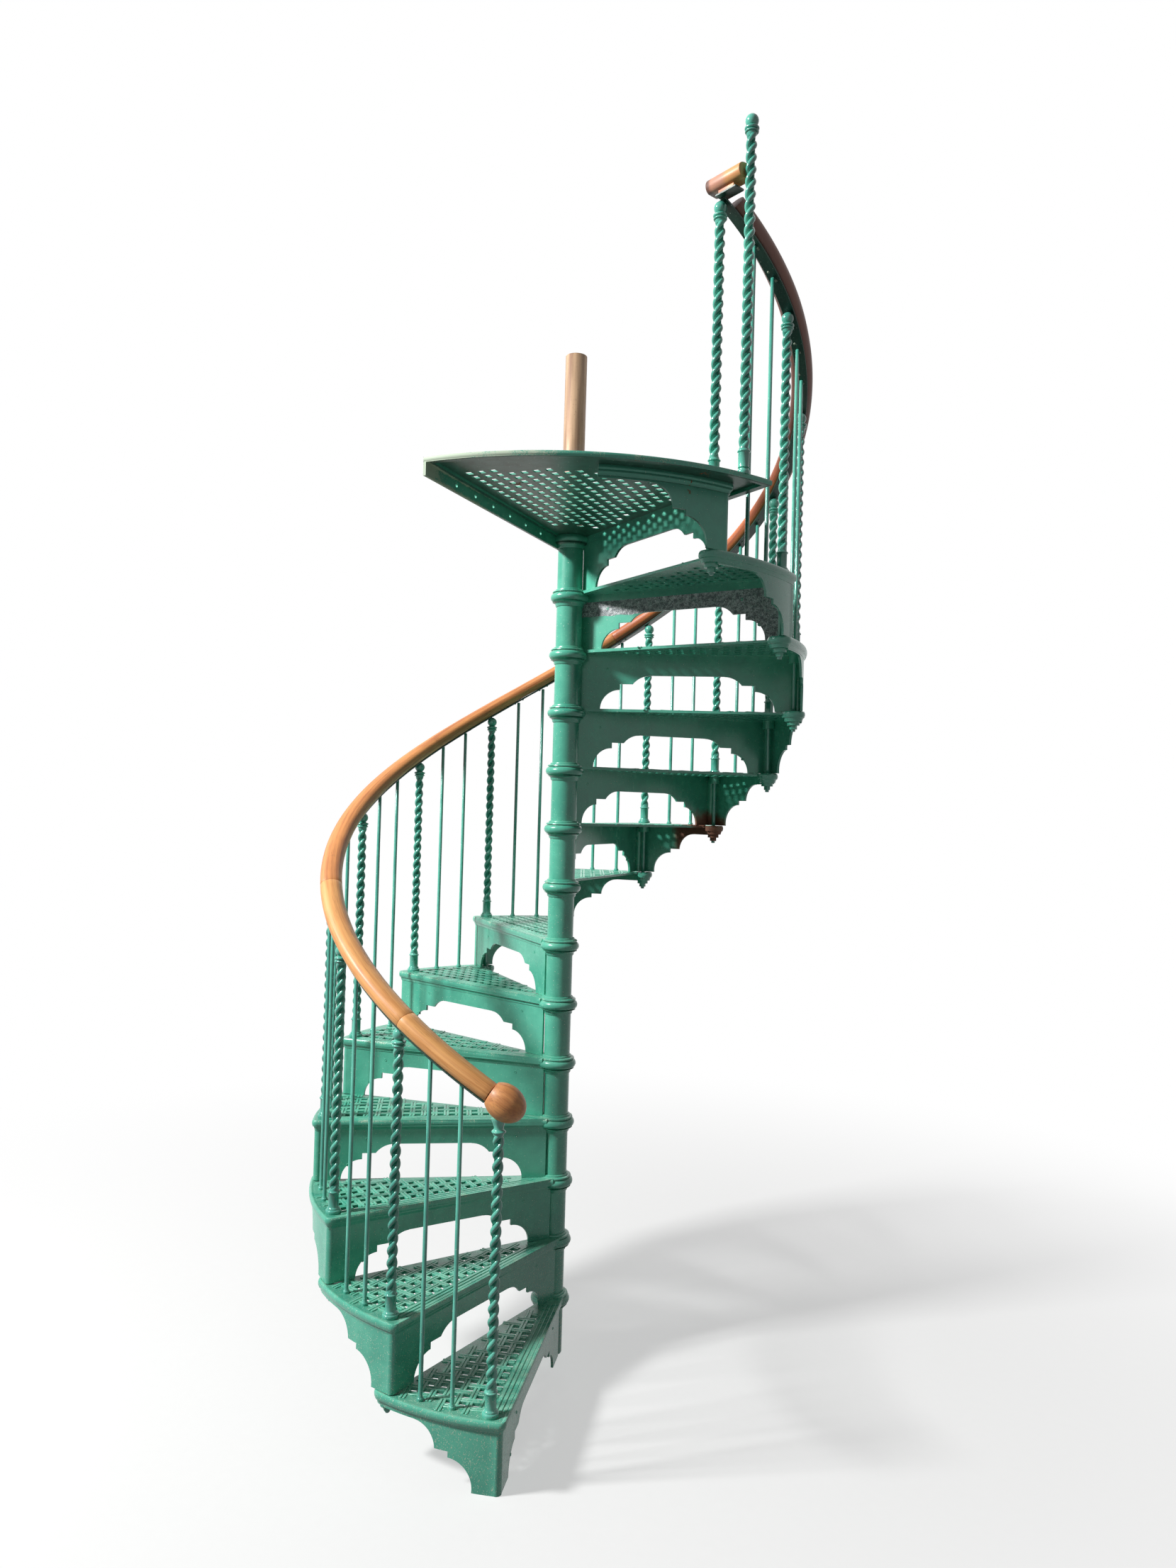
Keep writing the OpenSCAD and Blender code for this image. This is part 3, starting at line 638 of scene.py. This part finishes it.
far_tip = far_angle - math.asin(0.045 / rim)
rim_profile = [(-9, -2.6), (-7.5, -1.0), (-4.5, -0.4), (-1.8, -1.2), (-0.4, -3.6), (0, -7.5),
               (-0.4, -11.4), (-1.9, -14.0), (-4.6, -15.2), (-9, -15.4)]
rim_profile = [(x / 1000, z / 1000) for x, z in rim_profile]
arc_steps = 44
sweep(bm, rim_profile, [(rim * math.cos(a), rim * math.sin(a), a)
                        for a in (tip + (far_tip - tip) * i / arc_steps for i in range(arc_steps + 1))])
cornice_profile = [(-14, -8), (-0.2, -8.6), (0, -12.4), (-0.6, -16.0), (-2.4, -19.0), (-5.2, -21.2),
                   (-5.4, -24.0), (-7.4, -26.4), (-8.6, -30.0), (-9.0, -34.6), (-14.5, -35.2)]
cornice_out = 0.0024
cornice_profile = [(x / 1000 + cornice_out, z / 1000) for x, z in cornice_profile]
apron_stop = -0.372 / 0.802
sweep(bm, cornice_profile, nosing_path(0, stop=apron_stop))
hub_rings(bm)
finish_mesh(bm)
worn = bm.verts.layers.float.new("worn")
for v in bm.verts:
    r = v.co.xy.length
    edge = max(0.0, 1 - abs(r - rim) / 0.012)
    far = max(0.0, (-math.atan2(v.co.y, v.co.x) - 0.55) / 0.42)
    v[worn] = edge * (0.75 + far * 1.3)
place_copies("landing_casting", bm, [at_line(14)], landing_paint,
             ("landing",), 35, True)
bm.free()

# ---- Central pipe --------------------------------------------------------------------------
# Bare steel tube that stands on the floor and carries every casting. Brown with thin rust near
# its top, greyer and paler below.
f = Finish("bare_pipe")
place = f.add("ShaderNodeTexCoord", None, None, "Object")
streak = f.noise(place, 30, 5, 0.6, (1, 1, 0.05))
blotch = f.noise(place, 10, 5, 0.65)
pits = f.noise(place, 190, 3, 0.7)
level = f.add("ShaderNodeSeparateXYZ", None, {0: place}, "Z")
colour = f.mix(streak.between(0.35, 0.65), tone(138, 106, 82), tone(202, 168, 134))
lower = 1 - (level + (blotch - 0.5) * 0.35).between(3.00, 3.10)
colour = f.mix(lower * 0.75, colour, tone(160, 134, 124))
colour = f.mix(pits.between(0.60, 0.72) * 0.6, colour, tone(78, 52, 40))
pipe_metal = f.surface({"Base Color": colour, "Roughness": blotch * 0.35 + 0.34, "Metallic": 0.25,
                        "Normal": f.bump(pits * 0.5 + streak * 0.3, 0.0006, 0.5)})
low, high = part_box("center_pipe")
pipe = bmesh.new()
r, wall = high.x, 0.005
lathe(pipe, [(0, 0), (r - 0.001, 0), (r, 0.001), (r, 1.2), (r, 2.4), (r, high.z - 0.0015),
             (r - 0.0012, high.z), (r - wall + 0.0012, high.z), (r - wall, high.z - 0.0015),
             (r - wall, 0.012), (0, 0.012)], 64)
finish_mesh(pipe)
as_built = [Matrix.Identity(4)]
place_copies("steel_tube", pipe, as_built, pipe_metal, ("center_pipe",), 40)
pipe.free()

# ---- Turned posts --------------------------------------------------------------------------
# Cast posts with a two-start barley twist, a plain base on a stepped foot, two neck rings and
# a ball. A rod through each bolts it down through its tread and the ear below.
post_paint = painted_iron("post_paint", tone(98, 190, 168), tone(66, 156, 138), rust=0.12,
                          specks=0.35, dust=0.2, shine=0.09, ground_dirt=0.6)
lobe, valley, lead = 0.0157, 0.0086, 0.070


def twist_section():
    """Half of the section, twice: a broad round lobe, then a hollow with three fine beads."""
    points = []
    for half in (0, 180):
        for a in (0, 8, 19, 33, 48, 63, 78, 92, 103, 112):
            swell = max(0.0, math.sin(math.pi * a / 118)) ** 0.55
            points.append((half + a, valley + 0.0006 + (lobe - valley - 0.0006) * swell))
        for i, a in enumerate((120, 129, 138, 147, 156, 165, 173)):
            points.append((half + a, valley + (0.0002 if i % 2 == 0 else 0.0019)))
    return [(r * math.cos(math.radians(a)), r * math.sin(math.radians(a))) for a, r in points]


def turned_post(height, base, ball=0.019, foot=0.0235, tail=0.0, cup=False):
    """A whole post standing on z = 0, with a ball on top, or a cup that carries the knob."""
    bm = bmesh.new()
    neck = height - 2 * ball - 0.016
    start, end = base + 0.003, neck + 0.004
    ring = [bm.verts.new((x, y, start)) for x, y in twist_section()]
    edges = [bm.edges.new((ring[i], ring[(i + 1) % len(ring)])) for i in range(len(ring))]
    turns = (end - start) / lead
    steps = round(turns * 24)
    bmesh.ops.spin(bm, geom=edges, cent=(0, 0, 0), axis=(0, 0, 1), dvec=(0, 0, (end - start) / steps),
                   angle=turns * math.tau, steps=steps, use_merge=False)
    for v in bm.verts:
        r = math.hypot(v.co.x, v.co.y)
        fill = min(1.0, max(0.0, 1 - (v.co.z - start) / 0.026, 1 - (end - v.co.z) / 0.018))
        grown = r + (0.0150 - r) * fill ** 1.3
        v.co.x *= grown / r
        v.co.y *= grown / r
    plain = 0.0158
    bottom = [(0, -sink), (foot - 0.001, -sink), (foot, 0.0006), (foot, 0.0065), (foot - 0.0014, 0.0085),
              (foot - 0.0040, 0.0092), (foot - 0.0042, 0.0130), (foot - 0.0056, 0.0146),
              (plain + 0.0006, 0.0160), (plain, 0.0185), (plain, base - 0.003)]
    bottom += arc_points(0.0027, plain + 0.0004, base + 0.0005, -80, 80, 6)
    bottom += [(0.0156, base + 0.0040), (0.0150, base + 0.0075), (0.0100, base + 0.010), (0, base + 0.010)]
    lathe(bm, bottom, 28)
    z = neck
    if cup:
        top = [(0, z - 0.012), (0.0105, z - 0.012), (0.0148, z - 0.004), (0.0152, z)]
        top += arc_points(0.0034, 0.0166, z + 0.0035, -75, 75, 6)
        top += [(0.0150, z + 0.008), (0.0135, z + 0.012), (0.0140, z + 0.018), (0.0175, z + 0.028),
                (0.0215, z + 0.036), (0.0222, z + 0.040), (0, z + 0.041)]
    else:
        throat = 0.0112
        top = [(0, z - 0.010), (0.0105, z - 0.010), (0.0146, z - 0.003), (0.0150, z)]
        top += arc_points(0.0030, 0.0168, z + 0.0032, -75, 75, 6)
        top += [(0.0160, z + 0.0072)]
        top += arc_points(0.0042, 0.0168, z + 0.0125, -70, 80, 7)
        top += [(0.0140, z + 0.0180), (0.0118, z + 0.0192), (throat, z + 0.0205)]
        centre = height - ball
        start_a = -math.degrees(math.acos(throat / ball))
        top += arc_points(ball, 0, centre, start_a, 90, 12)
    lathe(bm, top, 28)
    if tail:
        rod = 0.007
        lathe(bm, [(0, -tail), (rod - 0.0012, -tail), (rod, -tail + 0.0014), (rod, 0.004), (0, 0.004)], 16)
    finish_mesh(bm, 2e-6)
    return bm


post_height = landing_high.z - last_line * rise
base_height = 0.061
long_tail = last_line * rise - landing_low.z
short_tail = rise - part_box("posts_lower")[0].z
pattern = turned_post(post_height, base_height, tail=short_tail, cup=True)
place_copies("bottom_post", pattern, [at_line(1, post_ring)], post_paint, ("posts_lower",))
pattern.free()
pattern = turned_post(post_height, base_height, tail=long_tail)
for name, lines in (("posts_lower", range(2, 5)), ("posts_middle", range(5, 10)),
                    ("posts_upper", range(10, 14)), ("landing_post", (14,))):
    place_copies("twisted_" + name, pattern, [at_line(k, post_ring) for k in lines], post_paint,
                 (name,))
pattern.free()

newel_low, newel_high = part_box("newel")
newel_at = (newel_low + newel_high) / 2
pattern = turned_post(newel_high.z - newel_low.z, base_height, foot=0.018)
newel_foot = Matrix.Translation((newel_at.x, newel_at.y, newel_low.z))
place_copies("twisted_newel", pattern, [newel_foot], post_paint, ("newel",))
pattern.free()

# ---- Post nuts -----------------------------------------------------------------------------
# Hexagon nuts in the castings' paint, run up the rods of the posts to the ears. They keep
# their own solids and only take the paint.
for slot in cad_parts["post_nuts"].material_slots:
    slot.material = casting_paint

# ---- Balusters -----------------------------------------------------------------------------
# Two plain round bars on each tread, each in a small cast foot, riveted up through the strip.
strip_width, strip_thick = 0.038, 0.006
rail_height = 0.8186
baluster_r, foot_r = 0.00625, 0.0095
rivet_pale = painted_iron("rivet_metal", tone(150, 160, 142), tone(96, 110, 92), rust=0.9,
                          specks=0.2, dust=0.1, shine=0.35)
rivet_head = [(0, 0.0006), (0.0042, 0.0006), (0.0044, -0.0004), (0.0034, -0.0022), (0.0016, -0.0030),
              (0, -0.0031)]
baluster_foot = [(0, -sink), (foot_r - 0.0006, -sink), (foot_r, 0.0008), (foot_r, 0.0048),
                 (foot_r - 0.0012, 0.0062), (foot_r - 0.0022, 0.0068), (foot_r - 0.0022, 0.0088),
                 (foot_r - 0.0030, 0.0100), (baluster_r, 0.0112)]


def slope_at(k):
    """Climb of the rail at line k, as an angle."""
    short = last_line - 1
    return math.atan2(rise, post_ring * (step_turn + (landing_extra if k > short else 0)))


for name, past in (("balusters_near", 8.25), ("balusters_far", 15.7)):
    bars, rivets = bmesh.new(), bmesh.new()
    for k in range(first_line, last_line):
        span = line_angle(k) - line_angle(k + 1)
        share = math.radians(past) / span
        slope = math.tan(slope_at(k + share))
        top = rail_height + share * rise - baluster_r * slope - 0.0004
        lathe(bars, baluster_foot + [(baluster_r, top - 0.0012), (baluster_r - 0.0012, top), (0, top)], 18,
              at_line(k, post_ring, -math.radians(past)))
        seat = (at_line(k, post_ring, -math.radians(past), share * rise + rail_height)
                @ Matrix.Rotation(-slope_at(k + share), 4, "X"))
        for x, y in ((0.004, 0.0165), (-0.006, -0.0185)):
            lathe(rivets, rivet_head, 12, seat @ Matrix.Translation((x, y, 0)))
    finish_mesh(bars)
    finish_mesh(rivets)
    place_copies("plain_" + name, bars, as_built, post_paint, (name,))
    place_copies("rivets_" + name, rivets, as_built, rivet_pale)
    bars.free()
    rivets.free()

# ---- Handrail strip ------------------------------------------------------------------------
# Flat steel strip bent to the helix, painted dark green, that ties the tops of the balusters.
strip_paint = painted_iron("strip_paint", tone(26, 70, 56), tone(14, 44, 36), rust=0.2, specks=0.3,
                           dust=0.1, shine=0.26)


def rail_frame(k, lift=0.0):
    """Frame on the rail's line at k: +X out, +Y back down the slope, +Z square off the strip."""
    return (at_line(k, post_ring, 0, rail_height) @ Matrix.Rotation(-slope_at(min(k, 13)), 4, "X")
            @ Matrix.Translation((0, 0, lift)))


def rail_run(bm, profile, start, end, lift=0.0, cuts=16):
    """Ring of (out, up) points drawn up the helix from start to end, counted in posts."""
    place = rail_frame(start, lift)
    ring = [bm.verts.new(place @ Vector((out, 0, high))) for out, high in profile]
    edges = [bm.edges.new((ring[i], ring[(i + 1) % len(ring)])) for i in range(len(ring))]
    bm.faces.new(ring)
    short = last_line - 1
    for low_k, high_k in ((start, min(end, short)), (max(start, short), end)):
        if high_k <= low_k:
            continue
        turn = line_angle(high_k) - line_angle(low_k)
        steps = max(2, round((high_k - low_k) * cuts))
        done = bmesh.ops.spin(bm, geom=edges, cent=(0, 0, 0), axis=(0, 0, 1), angle=turn, steps=steps,
                              use_merge=False, dvec=(0, 0, (high_k - low_k) * rise / steps))
        edges = [g for g in done["geom_last"] if isinstance(g, bmesh.types.BMEdge)]
    bmesh.ops.contextual_create(bm, geom=edges)
    return bm


half_w, ease = strip_width / 2, 0.0010
strip_ring = [(half_w, ease), (half_w, strip_thick - ease), (half_w - ease, strip_thick),
              (-half_w + ease, strip_thick), (-half_w, strip_thick - ease), (-half_w, ease),
              (-half_w + ease, 0), (half_w - ease, 0)]
helix_step = math.hypot(post_ring * step_turn, rise)
past_first_post = 0.0471
rail_start = 1 + past_first_post / helix_step
strip = rail_run(bmesh.new(), strip_ring, rail_start, last_line, 0)
finish_mesh(strip)
place_copies("bent_strip", strip, as_built, strip_paint, ("rail_strip",), 30)
strip.free()

apex = Vector(at_line(14, post_ring, 0, rail_height).translation)
out = Vector((newel_at.x - apex.x, newel_at.y - apex.y, 0))
newel_gap = 0.0175
reach = out.length - newel_gap
out.normalize()
across = Vector((-out.y, out.x, 0))
return_frame = Matrix((
    (out.x, across.x, 0, apex.x), (out.y, across.y, 0, apex.y), (out.z, across.z, 1, apex.z), (0, 0, 0, 1)))
return_seat = 0.0056


def straight_run(bm, profile, start, end, lift):
    """Ring of (across, up) points drawn straight from start to end along the return."""
    ring = [bm.verts.new((start, y, z + lift)) for y, z in profile]
    face = bm.faces.new(ring)
    grown = bmesh.ops.extrude_face_region(bm, geom=[face])["geom"]
    verts = [g for g in grown if isinstance(g, bmesh.types.BMVert)]
    bmesh.ops.translate(bm, vec=(end - start, 0, 0), verts=verts)
    bmesh.ops.transform(bm, matrix=return_frame, verts=bm.verts[:])
    return bm


bar = straight_run(bmesh.new(), strip_ring, -0.004, reach - 0.024, return_seat)
finish_mesh(bar)
place_copies("return_strip", bar, as_built, strip_paint, ("strip_return",), 30)
bar.free()

# ---- Handrail wood -------------------------------------------------------------------------
# Oval handrail in jointed lengths of varnished wood, screwed up through the strip, with an
# egg-shaped knob over the bottom post and a short level return to the newel.
rail_half_w, rail_half_h, rail_flat = 0.035, 0.026, 0.023
rail_lift = strip_thick + 0.0008 + rail_flat


def varnished(name, light, dark, stain=0.3, zones=()):
    """Softwood with its grain along the length, under old clear varnish."""
    f = Finish(name)
    along = f.add("ShaderNodeAttribute", {"attribute_name": "grain"}, None, "Vector")
    place = f.add("ShaderNodeTexCoord", None, None, "Object")
    rings = f.noise(along, 60, 4, 0.6, (1, 1, 0.035))
    pores = f.noise(along, 420, 3, 0.6, (1, 1, 0.03))
    broad = f.noise(place, 5, 3)
    smut = f.noise(place, 18, 5, 0.65)
    colour = f.mix((rings * 0.7 + broad * 0.3).between(0.36, 0.62), dark, light)
    colour = f.mix(pores.between(0.55, 0.72) * 0.55, colour, tuple(c * 0.42 for c in dark))
    colour = f.mix(smut.between(0.60, 0.78) * stain, colour, tone(72, 36, 22))
    lengthwise = f.add("ShaderNodeSeparateXYZ", None, {0: along}, "Z")
    # Each zone tints a stretch along the wood; on the rail this tint is painted shade.
    for start, end, shade, amount in zones:
        reach_to = (lengthwise + (smut - 0.5) * 0.04).between(start, end)
        colour = f.mix(reach_to * amount, colour, f.mix(rings, tuple(c * 0.6 for c in shade), shade))
    rough = 0.38 + smut * 0.2 + pores * 0.08
    return f.surface({"Base Color": colour, "Roughness": rough, "Coat Weight": 0.12,
                      "Coat Roughness": 0.3,
                      "Normal": f.bump(rings * 0.5 + pores * 0.5, 0.0005, 0.45)})


def oval(half_w, half_h, flat, points=28):
    """Ring of (across, up) points of a full oval cut off flat below."""
    ring = []
    for i in range(points):
        a = math.tau * (i + 0.5) / points
        x = half_w * math.copysign(abs(math.cos(a)) ** 0.9, math.cos(a))
        z = half_h * math.copysign(abs(math.sin(a)) ** 0.9, math.sin(a))
        ring.append((x, max(z, -flat)))
    return ring


def soften_ends(bm, size=0.0014):
    ends = [e for f in bm.faces if len(f.verts) > 8 for e in f.edges]
    bmesh.ops.bevel(bm, geom=ends, offset=size, offset_type="OFFSET", segments=2, profile=0.5,
                    affect="EDGES", material=-1, clamp_overlap=True)


def mark_grain(thing, locate):
    """Stores where each point lies in the wood: out, up and along, in metres."""
    layer = thing.data.attributes.new("grain", "FLOAT_VECTOR", "POINT")
    layer.data.foreach_set("vector", [c for v in thing.data.vertices for c in locate(v.co)])


def along_rail(co):
    """Post count from the turn about the pipe, with the whole turns taken from the height."""
    rough_k = (co.z - rail_height - 0.02) / rise
    angle = math.atan2(co.y, co.x)
    best = None
    for whole in (-3, -2, -1, 0, 1, 2):
        gap = last_angle - (angle + whole * math.tau)
        k = last_line + gap / step_turn
        if best is None or abs(k - rough_k) < abs(best - rough_k):
            best = k
    return (co.xy.length - post_ring, co.z - rail_height - best * rise, best * helix_step)


def along_return(co):
    """The same for the return, which lies straight along its own frame."""
    x, y, z = back @ co
    return (y, z, x)


joints = (rail_start, 1.97, 3.68, 8.6, last_line - 0.1)
saw_cut = 0.001
tones = ((tone(238, 176, 108), tone(202, 134, 74), 0.3), (tone(238, 174, 106), tone(200, 130, 72), 0.3),
         (tone(226, 152, 90), tone(178, 106, 58), 0.4), (tone(206, 116, 64), tone(146, 72, 42), 0.5))
# Painted shade: a dark stretch on the top length, from 10.9 to 11.5 post spacings up the rail.
painted_shade_stretch = ((10.9 * helix_step, 11.5 * helix_step, tone(92, 54, 44), 0.9),)
for i in range(4):
    light, dark, stain = tones[i]
    length = rail_run(bmesh.new(), oval(rail_half_w, rail_half_h, rail_flat), joints[i],
                      joints[i + 1] - saw_cut, rail_lift, 18)
    finish_mesh(length)
    soften_ends(length)
    wood = varnished(f"varnished_wood_{i + 1}", light, dark, stain, painted_shade_stretch if i == 3 else ())
    thing = place_copies(f"wood_{i + 1}", length, as_built, wood,
                         (f"handrail_{i + 1}",), 40)
    mark_grain(thing, along_rail)
    length.free()

back = return_frame.inverted()
block = 0.012
seat = return_seat + strip_thick + 0.0005
narrower, thinner = 0.004, 0.002
section = oval(rail_half_w - narrower, rail_half_h - thinner, rail_flat - thinner)
piece = straight_run(bmesh.new(), section, -0.034, reach, seat + block + rail_flat - thinner)
finish_mesh(piece)
soften_ends(piece, 0.002)
two_tone = ((0.045, 0.025, tone(206, 146, 126), 0.8), (-0.012, -0.026, tone(74, 42, 30), 0.85))
wood = varnished("varnished_wood_return", tone(228, 164, 102), tone(200, 130, 78), 0.25, two_tone)
thing = place_copies("wood_return", piece, as_built, wood,
                     ("handrail_return",), 40)
mark_grain(thing, along_return)
piece.free()
piece = bmesh.new()
bmesh.ops.create_cube(piece, size=1)
bmesh.ops.scale(piece, vec=(reach * 0.62, 0.028, block + 0.002), verts=piece.verts[:])
bmesh.ops.translate(piece, vec=(reach * 0.33, 0, seat + block / 2 + 0.001), verts=piece.verts[:])
bmesh.ops.bevel(piece, geom=piece.edges[:], offset=0.0015, segments=2, profile=0.5,
                affect="EDGES", material=-1)
bmesh.ops.transform(piece, matrix=return_frame, verts=piece.verts[:])
thing = place_copies("wood_packing", piece, as_built, wood, (), 40)
mark_grain(thing, along_return)
piece.free()

knob_half, knob_r, knob_cut = 0.062, 0.050, 0.046
cut_angle = math.degrees(math.acos(knob_cut / knob_half))
knob = bmesh.new()
profile = [(0, knob_cut), (knob_r * math.sin(math.radians(cut_angle)) - 0.001, knob_cut)]
profile += [(knob_r * math.sin(math.radians(a)), knob_half * math.cos(math.radians(a)))
            for a in (cut_angle + (180 - cut_angle) * i / 18 for i in range(19))]
tilt_down = Matrix.Rotation(math.radians(90), 4, "X")
lathe(knob, profile, 48)
finish_mesh(knob)
lower = rail_frame(1, rail_lift) @ tilt_down
wood = varnished("varnished_wood_knob", tone(224, 156, 94), tone(180, 112, 64), 0.45)
thing = place_copies("wood_knob", knob, [lower], wood, ("rail_knob",), 40)
mark_grain(thing, lambda co: tuple(lower.inverted() @ co))
knob.free()
